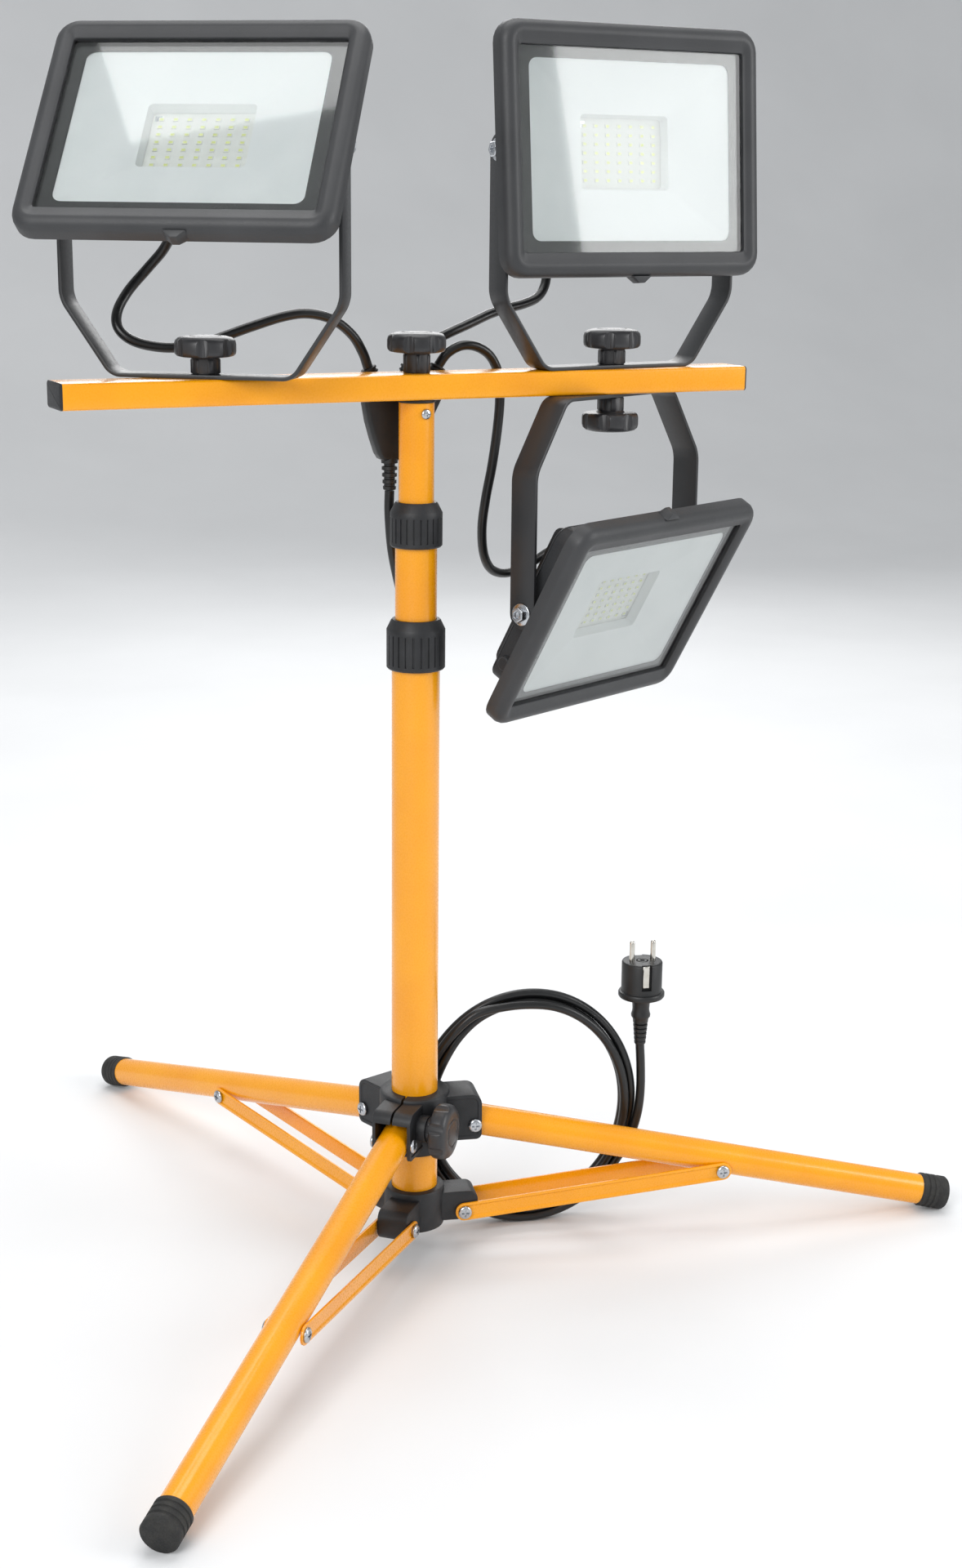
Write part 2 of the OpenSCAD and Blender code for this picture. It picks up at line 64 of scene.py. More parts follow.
lens = bpy.data.cameras.new("camera")
lens.lens = 51.75
lens.sensor_width = 36
camera = bpy.data.objects.new("camera", lens)
bpy.context.collection.objects.link(camera)
camera.matrix_world = shift(-0.7773, -1.7156, 0.896) @ turn(-24.94, "Z") @ turn(75.24, "X") @ turn(0.61, "Z")
bpy.context.scene.camera = camera

# ---------------------------------------------------------------- places on the work light

# Everything stands about the mast's axis, which is off the centre of the feet
METRES = Matrix.Scale(MM, 4)
ON_MAST = METRES @ shift(-65.3, -55.8, 0)

BAR_TOP, BAR_BOTTOM = 756, 736
LAMP_REACH = 174
PIVOT_HEIGHT = 171
CORD_RADIUS = 4

# Tripod, in the upright plane of a leg: outwards from the mast, and up
LEG_TURN = -13.8
LEG_PIVOT_R, LEG_PIVOT_Z = 50, 119
FOOT_R, FOOT_AXIS_Z = 490, 13.5
BRACE_PIVOT_R, BRACE_PIVOT_Z = 42, 38
BRACE_REACH, BRACE_UNDER = 232, 7
CLAMP_R, CLAMP_Z = 29, 127
CLAMP_SEAT = 24
CLAMP_HEAD = 30

leg_slope = math.atan2(LEG_PIVOT_Z - FOOT_AXIS_Z, FOOT_R - LEG_PIVOT_R)
LEG_DROP = math.degrees(leg_slope)
LEG_LENGTH = math.hypot(FOOT_R - LEG_PIVOT_R, LEG_PIVOT_Z - FOOT_AXIS_Z)

# The brace's bolt sits a little under the leg's axis
bolt_out = LEG_PIVOT_R + BRACE_REACH * math.cos(leg_slope) - BRACE_UNDER * math.sin(leg_slope) - BRACE_PIVOT_R
bolt_up = LEG_PIVOT_Z - BRACE_REACH * math.sin(leg_slope) - BRACE_UNDER * math.cos(leg_slope) - BRACE_PIVOT_Z
BRACE_RISE = math.degrees(math.atan2(bolt_up, bolt_out))
BRACE_LENGTH = math.hypot(bolt_out, bolt_up)


# Frame of a hanging leg in its own upright plane, with X down along the tube
LEG_HUNG = shift(LEG_PIVOT_R, 0, LEG_PIVOT_Z) @ turn(LEG_DROP, "Y")


def on_bar(x, z, yaw, hanging):
    """Frame of one yoke: the origin is on the bar's face under the knob."""
    return ON_MAST @ shift(x, 0, z) @ turn(yaw, "Z") @ turn(180 if hanging else 0, "Y")


def on_leg(k):
    """Upright plane of one leg, with X outwards along the floor."""
    return ON_MAST @ turn(LEG_TURN + 120 * k, "Z")


LAMPS = {
    "left": (on_bar(-LAMP_REACH, BAR_TOP, -36, False), 38.5),
    "right": (on_bar(LAMP_REACH, BAR_TOP, 6, False), 4.5),
    "hanging": (on_bar(LAMP_REACH, BAR_BOTTOM, 24.5, True), 29),
}

# ---------------------------------------------------------------- finishes


def shade(code):
    """A colour written as an sRGB hex value, in linear light."""
    parts = [int(code[i : i + 2], 16) / 255 for i in (1, 3, 5)]
    return [c / 12.92 if c <= 0.04045 else ((c + 0.055) / 1.055) ** 2.4 for c in parts] + [1.0]


def add(finish, kind, settings=None, **links):
    """Adds a node with its settings, and links the named sockets."""
    made = finish.node_tree.nodes.new(kind)
    for key, value in (settings or {}).items():
        if hasattr(made, key):
            setattr(made, key, value)
        else:
            made.inputs[key].default_value = value
    for key, source in links.items():
        finish.node_tree.links.new(source, made.inputs[int(key[1:]) if key[0] == "n" else key])
    return made


def start_finish(name, colour, roughness, **sockets):
    """A finish with its surface shader, and the node that gives places on the piece."""
    finish = bpy.data.materials.new(name)
    finish.use_nodes = True
    surface = finish.node_tree.nodes["Principled BSDF"]
    surface.inputs["Base Color"].default_value = shade(colour)
    surface.inputs["Roughness"].default_value = roughness
    for key, value in sockets.items():
        surface.inputs[key.replace("_", " ")].default_value = value
    finish.diffuse_color = shade(colour)
    return finish, surface, add(finish, "ShaderNodeTexCoord").outputs["Object"]


def connect(finish, source, surface, socket):
    finish.node_tree.links.new(source, surface.inputs[socket])


def grained(name, colours, roughnesses, grain_mm, relief_mm, patch_mm, detail=3.0, **sockets):
    """A finish with a fine relief of one grain size, and slow patches of two colours and two roughnesses."""
    finish, surface, places = start_finish(name, colours[0], roughnesses[0], **sockets)
    fine = add(finish, "ShaderNodeTexNoise", {"Scale": 1 / (grain_mm * MM), "Detail": detail}, Vector=places)
    slow = add(finish, "ShaderNodeTexNoise", {"Scale": 1 / (patch_mm * MM), "Detail": 4.0}, Vector=places)
    ramp = add(finish, "ShaderNodeValToRGB", n0=slow.outputs[0])
    ramp.color_ramp.elements[0].position, ramp.color_ramp.elements[1].position = 0.35, 0.68
    ramp.color_ramp.elements[0].color = shade(colours[0])
    ramp.color_ramp.elements[1].color = shade(colours[1])
    connect(finish, ramp.outputs["Color"], surface, "Base Color")
    dull = add(
        finish,
        "ShaderNodeMapRange",
        {"From Min": 0.3, "From Max": 0.7, "To Min": roughnesses[0], "To Max": roughnesses[1]},
        n0=fine.outputs[0],
    )
    connect(finish, dull.outputs[0], surface, "Roughness")
    relief = add(
        finish, "ShaderNodeBump", {"Strength": 0.6, "Distance": relief_mm * MM}, Height=fine.outputs[0]
    )
    connect(finish, relief.outputs["Normal"], surface, "Normal")
    return finish


# Powder coat on steel tube, sprayed and baked: a full gloss with a faint orange peel, 1.5 mm from dimple
# to dimple, and a colour that is a shade deeper where it lies thick.
YELLOW_COAT = grained(
    "yellow_powder_coat", ("#F4A300", "#EE9A00"), (0.24, 0.32), 1.5, 0.05, 60, 2.0, Coat_Weight=0.4
)
YELLOW_COAT.node_tree.nodes["Principled BSDF"].inputs["Coat Roughness"].default_value = 0.12

# Fine-texture polyester powder on an aluminium die casting: grain of about 0.3 mm, drawn at 0.9 mm so
# that it shows, with a soft broad shine.
FRAME_COAT = grained("textured_black_powder", ("#303133", "#37383A"), (0.42, 0.55), 0.9, 0.12, 45)

# Raw black-dyed aluminium casting behind the frame: coarser, flatter and a little greyer.
CASTING = grained("black_aluminium_casting", ("#26272A", "#2E2F31"), (0.52, 0.66), 1.4, 0.18, 35)

# Satin stoving enamel on bent steel strap: smooth, with long soft reflections.
STRAP_ENAMEL = grained("satin_black_enamel", ("#27282A", "#2C2D2F"), (0.36, 0.44), 2.2, 0.04, 50)

# Glass-filled nylon, injection moulded: spark-eroded grain of 0.4 mm drawn at 0.8 mm, with cloudy patches
# of fibre near the surface.
NYLON = grained("glass_filled_nylon", ("#191A1C", "#232427"), (0.44, 0.58), 0.8, 0.08, 12)

# Moulded ABS of the star knobs: charcoal, satin from handling.
KNOB_PLASTIC = grained("satin_charcoal_abs", ("#2A2A2C", "#303032"), (0.33, 0.42), 1.0, 0.04, 18)

# Chloroprene rubber sheath, extruded: black with a waxy gloss and slow ripples of 4 mm.
RUBBER_SHEATH = grained("chloroprene_sheath", ("#121314", "#191A1B"), (0.28, 0.38), 4.0, 0.10, 20, 2.0)

# Moulded soft PVC of the plug and splitter: a low sheen with a fine matt texture.
SOFT_PVC = grained("soft_black_pvc", ("#161718", "#1E1F20"), (0.38, 0.50), 0.7, 0.05, 14)

# Foot rubber: matt, dusty where it has stood on floors.
FOOT_RUBBER = grained("foot_rubber", ("#1B1B1B", "#2A2926"), (0.62, 0.80), 1.2, 0.12, 9)

# Vacuum-formed white polycarbonate reflector: bright, smooth, slightly glossy.
REFLECTOR_WHITE = grained("white_polycarbonate", ("#F4F6F7", "#EDF0F1"), (0.30, 0.38), 3.0, 0.03, 40)

# White solder mask on an aluminium-core board: flat white with a trace of the copper's relief.
SOLDER_MASK = grained("white_solder_mask", ("#F1F2EE", "#E9EAE6"), (0.35, 0.45), 2.0, 0.05, 6)

# Phosphor gel over the blue chips: pale greenish yellow, cloudy, wet-looking.
PHOSPHOR = grained("yellow_phosphor", ("#E4EC8E", "#EEF2AE"), (0.20, 0.30), 0.6, 0.03, 2)

# Bright zinc plate on steel: blue-white metal, with a fine turned grain that blurs its highlights.
ZINC_PLATE = grained("zinc_plated_steel", ("#C9CCD0", "#B7BABF"), (0.18, 0.34), 0.5, 0.02, 5, Metallic=1.0)

# Nickel plate on the plug's brass: smoother and slightly warm.
NICKEL_PLATE = grained(
    "nickel_plated_brass", ("#D6D3CC", "#C9C5BC"), (0.12, 0.22), 0.6, 0.01, 6, Metallic=1.0
)

# Ceramic ink fired on the back of the glass: dense black with a fine dot texture of 0.8 mm.
FIRED_INK = grained("fired_black_ink", ("#1A1B1D", "#202123"), (0.30, 0.40), 0.8, 0.03, 25)

# Toughened float glass, 4 mm: clear with a green edge; the slow waves are the roller marks of tempering.
WINDOW_GLASS, glass_surface, glass_places = start_finish("toughened_glass", "#F8FBFA", 0.03, IOR=1.5)
glass_surface.inputs["Transmission Weight"].default_value = 1.0
roller_marks = add(WINDOW_GLASS, "ShaderNodeTexNoise", {"Scale": 1 / (55 * MM)}, Vector=glass_places)
tempering = add(
    WINDOW_GLASS, "ShaderNodeBump", {"Strength": 0.2, "Distance": 0.03 * MM}, Height=roller_marks.outputs[0]
)
connect(WINDOW_GLASS, tempering.outputs["Normal"], glass_surface, "Normal")

# Painted studio floor: pale grey, matt, with the roller's faint mottling.
FLOOR_PAINT = grained("studio_floor_paint", ("#E6E7E8", "#E2E3E4"), (0.70, 0.78), 6.0, 0.05, 400)

# ---------------------------------------------------------------- workshop


def clear_bench():
    """Object mode with nothing selected."""
    if bpy.context.mode != "OBJECT":
        bpy.ops.object.mode_set(mode="OBJECT")
    bpy.ops.object.select_all(action="DESELECT")


def take(piece):
    """Makes one piece the active, selected one."""
    clear_bench()
    piece.select_set(True)
    bpy.context.view_layer.objects.active = piece
    return piece


def settle(piece):
    """Writes the piece's place into its mesh."""
    take(piece)
    bpy.ops.object.transform_apply(location=True, rotation=True, scale=True)
    return piece


def block(low, high):
    """A rectangular blank between two corners."""
    clear_bench()
    bpy.ops.mesh.primitive_cube_add(size=1, location=[(a + b) / 2 for a, b in zip(low, high)])
    blank = bpy.context.object
    blank.scale = [b - a for a, b in zip(low, high)]
    return settle(blank)


def rod(radius, start, end, sides=32):
    """A round bar from one point to another."""
    clear_bench()
    run = Vector(end) - Vector(start)
    bpy.ops.mesh.primitive_cylinder_add(
        vertices=sides,
        radius=radius,
        depth=run.length,
        location=(Vector(start) + Vector(end)) / 2,
        rotation=run.to_track_quat("Z", "Y").to_euler(),
    )
    return settle(bpy.context.object)


def pick(piece, test, kind="FACE"):
    """Edit mode, with only the faces or edges selected that pass the test of place and direction."""
    take(piece)
    mesh = piece.data
    for group in (mesh.vertices, mesh.edges, mesh.polygons):
        group.foreach_set("select", [False] * len(group))
    bpy.context.tool_settings.mesh_select_mode = (False, kind == "EDGE", kind == "FACE")
    if kind == "FACE":
        for face in mesh.polygons:
            face.select = bool(test(face.center, face.normal))
    else:
        for edge in mesh.edges:
            a, b = (mesh.vertices[i].co for i in edge.vertices)
            edge.select = bool(test((a + b) / 2, (b - a).normalized()))
    bpy.ops.object.mode_set(mode="EDIT")


def raise_face(distance):
    """Extrudes the picked faces by a vector."""
    bpy.ops.mesh.extrude_region_move(TRANSFORM_OT_translate={"value": distance})


def step_in(steps):
    """Insets the picked face again and again, each time by a width and a height."""
    for width, height in steps:
        bpy.ops.mesh.inset(thickness=width, depth=height, use_even_offset=True)


def round_edges(piece, test, radius, steps):
    pick(piece, test, "EDGE")
    bpy.ops.mesh.bevel(offset=radius, segments=steps, affect="EDGES", clamp_overlap=True)
    return take(piece)


def apply_modifier(piece, kind, **settings):
    take(piece)
    modifier = piece.modifiers.new("work", kind)
    for key, value in settings.items():
        setattr(modifier, key, value)
    bpy.ops.object.modifier_apply(modifier=modifier.name)
    return piece


def soften(piece, width=0.6, steps=2, angle=40):
    """Breaks the sharp edges, as casting and moulding leave them."""
    return apply_modifier(
        piece, "BEVEL", width=width, segments=steps, limit_method="ANGLE", angle_limit=math.radians(angle)
    )


def repeat(piece, count, gap):
    """Sets out a row of the piece, each moved on by the gap."""
    return apply_modifier(
        piece,
        "ARRAY",
        count=count,
        use_relative_offset=False,
        use_constant_offset=True,
        constant_offset_displace=gap,
    )


def cut(piece, *tools):
    """Cuts the tools' shapes out of the piece."""
    for tool in tools:
        apply_modifier(piece, "BOOLEAN", operation="DIFFERENCE", object=tool, solver="EXACT")
        bpy.data.objects.remove(tool)
    return piece


def weld(piece, *others):
    """Melts other shapes into the piece."""
    for other in others:
        apply_modifier(piece, "BOOLEAN", operation="UNION", object=other, solver="EXACT")
        bpy.data.objects.remove(other)
    return piece


def gather(*pieces):
    """Makes one piece of several, each with its own finish."""
    clear_bench()
    for piece in pieces:
        piece.select_set(True)
    bpy.context.view_layer.objects.active = pieces[0]
    bpy.ops.object.join()
    return bpy.context.object


def coat(piece, finish):
    piece.data.materials.clear()
    piece.data.materials.append(finish)
    return piece


def smooth(piece, angle=38):
    take(piece)
    bpy.ops.object.shade_smooth_by_angle(angle=math.radians(angle))
    return piece


def copy_of(piece):
    take(piece)
    bpy.ops.object.duplicate(linked=False)
    return bpy.context.object


def moved(piece, matrix):
    """Puts the piece in place, and writes that place into its mesh."""
    piece.matrix_world = matrix @ piece.matrix_world
    return settle(piece)


def fit(piece, name, body, matrix=None, replaced=()):
    """Names a finished piece, puts it in place and hangs it on its body."""
    if matrix is not None:
        moved(piece, matrix)
    piece.name = piece.data.name = name
    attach(piece, body)
    if replaced:
        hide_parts(*replaced)
    return piece


def turned(profile, sides=48, hollow=False):
    """A shape turned about Z, grown ring by ring through (radius, height).

    A hollow one ends at its lower face.
    """
    clear_bench()
    (r0, z0), (r1, z1) = profile[:2]
    bpy.ops.mesh.primitive_cone_add(
        vertices=sides, radius1=r0, radius2=r1, depth=z1 - z0, location=(0, 0, (z0 + z1) / 2)
    )
    shape = settle(bpy.context.object)
    pick(shape, lambda place, way: way.z > 0.99)
    for (r_last, z_last), (r, z) in zip(profile[1:], profile[2:]):
        raise_face((0, 0, z - z_last))
        bpy.ops.transform.resize(value=(r / r_last, r / r_last, 1), center_override=(0, 0, z))
    if hollow:
        take(shape)
        ends = [face.index for face in shape.data.polygons if len(face.vertices) == sides]
        pick(shape, lambda place, way: False)
        bpy.ops.object.mode_set(mode="OBJECT")
        for index in ends:
            shape.data.polygons[index].select = True
        bpy.ops.object.mode_set(mode="EDIT")
        bpy.ops.mesh.bridge_edge_loops()
        bpy.ops.mesh.select_all(action="SELECT")
        bpy.ops.mesh.normals_make_consistent(inside=False)
    return take(shape)


def plate(width, height, radius, front, back, drop=-2, steps=6):
    """An upright plate with rounded corners that faces -Y."""
    sheet = block((-width / 2, front, drop - height / 2), (width / 2, back, drop + height / 2))
    return round_edges(sheet, lambda place, way: abs(way.y) > 0.99, radius, steps)


# ---------------------------------------------------------------- cords


def through(points, fine=6):
    """A smooth line through the points of a route."""
    line = []
    ends = [2 * points[0] - points[1]] + list(points) + [2 * points[-1] - points[-2]]
    for a, b, c, d in zip(ends, ends[1:], ends[2:], ends[3:]):
        for i in range(fine):
            t = i / fine
            square = (2 * a - 5 * b + 4 * c - d) * t * t
            cube = (3 * b - a - 3 * c + d) * t**3
            line.append(0.5 * (2 * b + (c - a) * t + square + cube))
    return line + [points[-1]]


def cord_piece(name, route, matrix):
    """A round cord that follows the route, as a tube with its line."""
    line = [matrix @ point for point in through([Vector(p) for p in route])]
    curve = bpy.data.curves.new(name, "CURVE")
    curve.dimensions = "3D"
    curve.bevel_depth = CORD_RADIUS * MM
    curve.bevel_resolution = 5
    curve.use_fill_caps = True
    spline = curve.splines.new("POLY")
    spline.points.add(len(line) - 1)
    for knot, place in zip(spline.points, line):
        knot.co = (*place, 1)
    cord = bpy.data.objects.new(name, curve)
    bpy.context.collection.objects.link(cord)
    curve.materials.append(RUBBER_SHEATH)
    return cord, line


LEAD_ROUTES = {
    "left": [
        (-191.3, 30.7, 889.8), (-184, 41, 880), (-180, 54, 866), (-184, 66, 850), (-196, 74, 834),
        (-211, 74, 818), (-222, 68, 803), (-224, 61, 791), (-216, 55, 782), (-200, 51, 777), (-180, 47, 776),
        (-155, 42, 781), (-125, 38, 791), (-98, 35, 799), (-78, 33, 801), (-58, 32, 796), (-42, 32, 784),
        (-33, 32, 770), (-28.6, 32, 758.4),
    ],
    "right": [
        (138.7, 29.4, 904.3), (137, 43, 903), (137, 56, 898), (139, 68, 887), (144, 76, 871), (149, 77, 853),
        (150, 74, 835), (146, 69, 820), (136, 63, 810), (120, 57, 805), (102, 51, 802), (84, 45, 798),
        (64, 40, 791), (44, 36, 784), (26, 33, 777), (13, 32, 769), (6.8, 32, 759.3),
    ],
    "hanging": [
        (194.6, 32, 599.3), (190.5, 42, 605.5), (184, 54, 609), (174, 66, 605), (160, 76, 595),
        (141, 81, 583),
        (120, 79, 577), (101, 71, 582), (88, 60, 598), (82, 51, 622), (82, 44, 648), (85, 39, 675),
        (88, 36, 705), (89, 34, 730), (87, 33, 750), (79, 32, 765), (66, 31, 773), (52, 30, 774),
        (40, 31, 768), (32.6, 32, 758.4),
    ],
}  # fmt: skip

MAINS_DOWN = [
    (-10, 32, 659.4), (-10, 32.5, 640), (-7, 33.5, 610), (0, 35, 580), (8, 35, 550),
    (15, 33, 520), (19, 30, 490),
    (20, 29, 460), (20.5, 31, 430), (21.5, 35, 400), (22, 38.5, 370), (22, 40, 340), (22, 40, 300),
    (22, 40, 260), (22, 40, 220), (22, 40, 180), (22, 40, 150), (22, 40, 130),
]  # fmt: skip

# The end that leaves the coil for the plug: along the leg, behind it, height
PLUG_END = [
    (190, 36, 53.5), (198, 36, 67), (204.8, 36.2, 82), (209.4, 37.4, 99), (211.6, 39.2, 118),
    (211.4, 40, 140),
    (210, 40, 162),
]  # fmt: skip


def ease(value, low, high):
    t = min(1, max(0, (value - low) / (high - low)))
    return t * t * (3 - 2 * t)


# Upright coil beside the first leg: its middle along the leg and up, its outer turn's half sizes, and how
# far it stands behind the leg. Each layer lies one cord inside or in front of the last.
COIL_ALONG, COIL_UP = 108, 109
COIL_HALF_WIDE, COIL_HALF_TALL = 96, 105
COIL_BEHIND = 44
LAYER = 2 * CORD_RADIUS


def coil_turns():
    """Three and a half turns, two by two: back outer, back inner, front inner, front outer."""
    turns = []
    for step in range(180, 1400, 15):
        inner = ease(step, 510, 538) - ease(step, 1175, 1202)
        front = ease(step, 842, 870)
        angle = math.radians(step)
        turns.append(
            (
                COIL_ALONG + (COIL_HALF_WIDE - LAYER * inner) * math.cos(angle),
                COIL_BEHIND - LAYER * front,
                COIL_UP + (COIL_HALF_TALL - LAYER * inner) * math.sin(angle),
            )
        )
    return turns


coil_frame = turn(LEG_TURN, "Z")
mains_route = MAINS_DOWN + [tuple(coil_frame @ Vector(p)) for p in coil_turns() + PLUG_END]
mains_cord, mains_line = cord_piece("mains_lead", mains_route, ON_MAST)
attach(mains_cord, "stand")
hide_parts("mains_cord", "cord_coil")

for side, route in LEAD_ROUTES.items():
    lead, lead_line = cord_piece(f"{side}_lamp_lead", route, ON_MAST)
    take(lead)
    bpy.ops.object.convert(target="MESH")
    lead = bpy.context.object
    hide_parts(f"{side}_lead")
    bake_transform(lead)

# ---------------------------------------------------------------- screws and knobs


def cross_screw(radius, height):
    """Pan-head screw with a cross recess, head up along Z from 0."""
    head = turned(
        [
            (radius * 0.94, 0), (radius, height * 0.18), (radius, height * 0.42),
            (radius * 0.9, height * 0.72),
            (radius * 0.68, height * 0.92), (radius * 0.4, height),
        ],
        32,
    )  # fmt: skip
    arm, width, deep = radius * 0.56, radius * 0.13, height * 0.45
    one = block((-arm, -width, deep), (arm, width, height + 1))
    other = block((-width, -arm, deep), (width, arm, height + 1))
    return smooth(coat(cut(head, one, other), ZINC_PLATE))


def star_knob(stem, stud):
    """Seven-lobed knob: head from 0 to 16, a ribbed stem below it and the stud's end below that."""
    head = turned(
        [
            (18.5, 0), (21.6, 0.7), (23.2, 2.4), (23.5, 4.5), (23.5, 9.5), (22.8, 12.2),
            (20.6, 14.2), (16.5, 15.3),
            (12.6, 15.6), (12.2, 15.1), (11.4, 15.1), (11.0, 15.7), (6, 16),
        ],
        84,
    )  # fmt: skip
    for i in range(7):
        angle = 2 * math.pi * (i + 0.5) / 7
        x, y = 29.0 * math.cos(angle), 29.0 * math.sin(angle)
        cut(head, rod(7.6, (x, y, -2), (x, y, 18), 40))
    soften(head, 0.7, 2, 50)
    column = turned([(10.2, -stem), (10.5, -stem + 0.6), (10.5, -1.6), (12.6, 0.4)], 42)
    pick(column, lambda place, way: abs(way.z) < 0.1 and math.degrees(math.atan2(place.y, place.x)) % 60 < 25)
    bpy.ops.mesh.inset(thickness=0.35, depth=0.9)
    column = soften(take(column), 0.3, 1, 50)
    knob = coat(gather(head, column), KNOB_PLASTIC)
    threads = [(3.2, -stem - stud)]
    for i in range(int(stud / 1.25) - 1):
        threads += [(4.0, -stem - stud + 0.7 + 1.25 * i), (3.4, -stem - stud + 1.3 + 1.25 * i)]
    return smooth(gather(knob, coat(turned(threads + [(3.4, -stem + 1)], 24), ZINC_PLATE)))


# ---------------------------------------------------------------- lamp, about its tilt axis, light towards -Y


def lamp_frame():
    """Cast front frame: rounded outside, a crowned ring, a sloping lip, and a rebate behind for the glass."""
    ring = plate(244, 194, 18, -22, -14)
    pick(ring, lambda place, way: way.y < -0.9)
    step_in([(0.35, 1.6), (0.9, 2.2), (1.5, 1.8), (2.0, 1.4), (2.4, 0.8), (2.0, 0.2)])
    step_in([(1.2, -0.3), (3.2, -1.3), (1.4, -1.2)])
    bpy.ops.transform.resize(value=(1, 1, 156 / 163), center_override=(0, -27, -2))
    step_in([(0.5, -0.6)])
    raise_face((0, 6, 0))
    pick(ring, lambda place, way: way.y > 0.9)
    step_in([(0.8, 0), (5.0, 0)])
    raise_face((0, -4.8, 0))
    pick(
        ring,
        lambda place, way: abs(way.y) > 0.99 and abs(place.x) < 2 and abs(place.z + 2) < 2,
    )
    bpy.ops.mesh.bridge_edge_loops()
    tab = block((-4, -27, -104), (14, -15, -98.6))
    pick(tab, lambda place, way: way.z < -0.9)
    bpy.ops.transform.resize(value=(0.3, 0.8, 1), center_override=(5, -21, -104))
    tab = soften(take(tab), 0.6, 2)
    return smooth(coat(gather(ring, tab), FRAME_COAT), 30)


def lamp_window():
    """Flat pane with softened edges, left flat shaded so that it doesn't bend what shows behind it."""
    return coat(soften(plate(219, 162, 9.5, -24.3, -20.3), 0.4, 2), WINDOW_GLASS)


def window_ink():
    """Black border fired on the back of the glass."""
    ink = plate(218, 161, 9, -20.2, -20.0)
    pick(ink, lambda place, way: abs(way.y) > 0.9)
    bpy.ops.mesh.inset(thickness=0.5, use_even_offset=True)
    bpy.ops.transform.resize(value=(190 / 217, 1, 138 / 160), center_override=(0, -20.1, -2))
    bpy.ops.mesh.bridge_edge_loops()
    return coat(take(ink), FIRED_INK)


def lamp_tray():
    """White tray: a shallow funnel with a steep sill about the light board."""
    tray = block((-40, -2.4, -29), (40, -2, 25))
    pick(tray, lambda place, way: way.y < -0.9)
    middle = (0, 0, -2)
    for depth, width, height in ((-0.4, 80.4, 54.4), (-7.2, 84, 58)):
        raise_face((0, depth, 0))
        wide, tall = size_of_picked(tray)
        bpy.ops.transform.resize(value=(width / wide, 1, height / tall), center_override=middle)
    raise_face((0, -9.9, 0))
    bpy.ops.transform.resize(value=(192 / 84, 1, 140 / 58), center_override=middle)
    pick(tray, lambda place, way: abs(way.y) > 0.99)
    bpy.ops.mesh.delete(type="FACE")
    round_edges(tray, lambda place, way: abs(way.x) > 0.1 and abs(way.y) > 0.1 and abs(way.z) > 0.1, 3, 3)
    apply_modifier(tray, "SOLIDIFY", thickness=0.9, offset=1)
    return smooth(coat(tray, REFLECTOR_WHITE), 25)


def size_of_picked(piece):
    """Width and height of the picked face."""
    bpy.ops.object.mode_set(mode="OBJECT")
    mesh = piece.data
    corners = [mesh.vertices[i].co for face in mesh.polygons if face.select for i in face.vertices]
    bpy.ops.object.mode_set(mode="EDIT")
    return [max(c[axis] for c in corners) - min(c[axis] for c in corners) for axis in (0, 2)]


def light_board():
    """Board with forty-nine chips in seven rows, each with a phosphor pool in a white cup."""
    board = coat(soften(plate(90, 64, 2, -1.6, 0, steps=3), 0.2, 1), SOLDER_MASK)
    chip = block((-35.1, -2.4, -24.6), (-30.9, -1.6, -21.4))
    coat(chip, SOLDER_MASK)
    chip.data.materials.append(PHOSPHOR)
    pick(chip, lambda place, way: way.y < -0.9)
    bpy.ops.mesh.inset(thickness=0.45)
    bpy.ops.mesh.inset(thickness=0.1, depth=-0.15)
    chip.active_material_index = 1
    bpy.ops.object.material_slot_assign()
    take(chip)
    for count, axis, pitch in ((7, 0, 11), (7, 2, 7)):
        gap = [0, 0, 0]
        gap[axis] = pitch
        repeat(chip, count, gap)
    pads = block((-38.4, -1.75, 17.6), (-33.0, -1.55, 22.4))
    pick(pads, lambda place, way: way.y < -0.9)
    bpy.ops.mesh.inset(thickness=0.5, depth=0.1)
    return smooth(gather(board, chip, coat(take(pads), ZINC_PLATE)), 25)


def lamp_casting():
    """Housing with its flange, deep body, cooling fins, pivot bosses and the pad of the gland."""
    shell = weld(plate(232, 182, 14, -19.6, -14), plate(200, 150, 12, -15, 9.5))
    crown = plate(200, 150, 12, 9.4, 9.5)
    pick(crown, lambda place, way: way.y > 0.9)
    step_in([(0.8, 1.2), (1.6, 0.9), (2.0, 0.4)])
    soften(cut(shell, plate(194, 144, 10, -30, 0)), 0.9, 2, 50)
    shell = gather(shell, take(crown))
    fin = block((-85.25, 9, -71), (-82.75, 22, 67))
    round_edges(fin, lambda place, way: abs(way.x) > 0.9 and place.y > 20, 9, 4)
    pick(fin, lambda place, way: way.y > 0.9)
    bpy.ops.transform.resize(value=(0.72, 1, 1), center_override=(-84, 22, 0))
    soften(fin, 0.3, 1, 50)
    repeat(fin, 15, (12, 0, 0))
    bosses = []
    for radius, reach, z in ((11, 107.7, 0), (6, 104, 52)):
        for hand in (-1, 1):
            outline = [(radius + 1.5, 98), (radius + 0.4, 101), (radius, reach - 1), (radius - 1, reach)]
            boss = turned(outline, 40)
            bosses.append(moved(boss, shift(0, 0, z) @ turn(90 * hand, "Y")))
    pad = moved(turned([(16, 10), (15.4, 13), (14.4, 14)], 40), shift(-32, 0, -20) @ turn(-90, "X"))
    return smooth(coat(gather(shell, fin, *bosses, pad), CASTING), 30)


